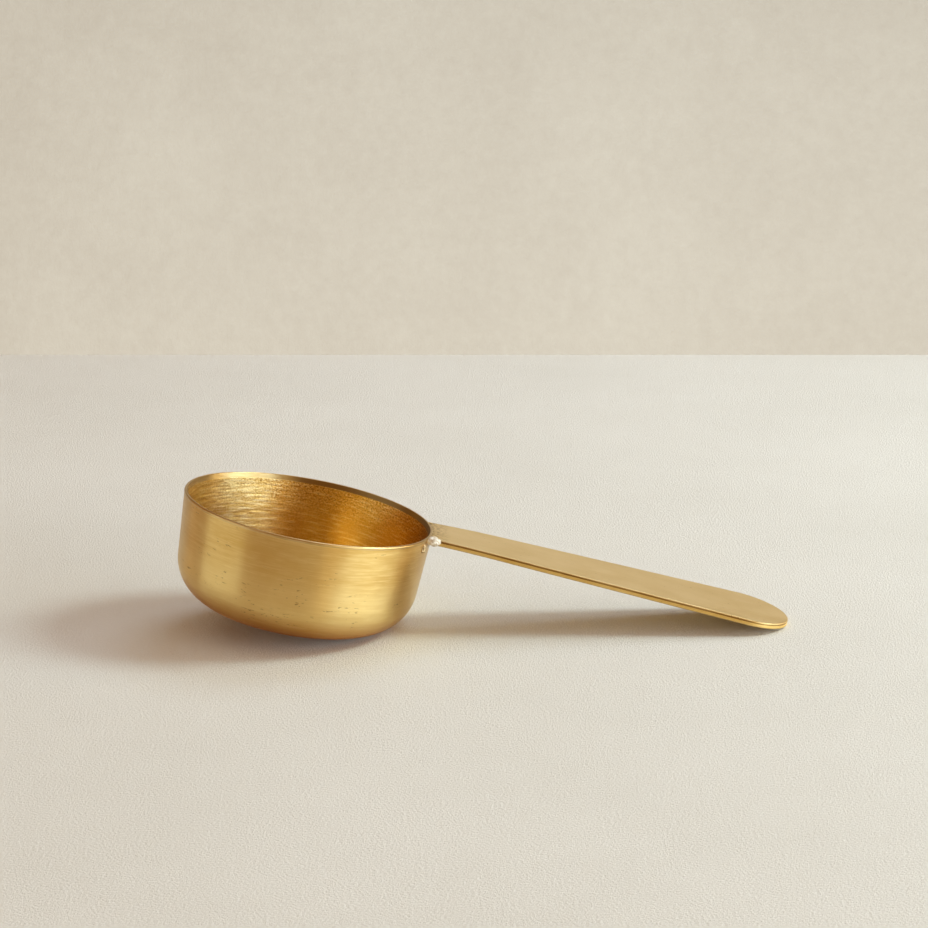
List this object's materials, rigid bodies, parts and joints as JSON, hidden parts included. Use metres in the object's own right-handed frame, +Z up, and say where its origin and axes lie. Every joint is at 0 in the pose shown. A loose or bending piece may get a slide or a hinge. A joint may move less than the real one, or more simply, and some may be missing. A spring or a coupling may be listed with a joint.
{
  "type": "coffee measuring scoop",
  "caption": "Small round brass scoop with a thin spun bowl and a flat, widening strip handle soldered to the rim, lying at rest on its bowl and handle tip.",
  "frame": {"origin": "on the table, under the middle of the whole scoop as it lies at rest", "axes": "+Z up from the table, +X along the handle towards its tip, +Y to the left of the handle"},
  "size_m": [0.1222, 0.05, 0.0289],
  "materials": {
    "brass_bowl": "spun brass, satin brushed around the outside, darker with patina inside",
    "brass_handle": "sheet brass, satin brushed along its length",
    "solder": "pale brazing solder, smooth and glossy where it froze"
  },
  "bodies": {
    "root": {"bowl": "brass_bowl", "handle": "brass_handle", "solder_seam": "solder", "solder_bead": "solder", "solder_drip": "solder"}
  },
  "joints": []
}
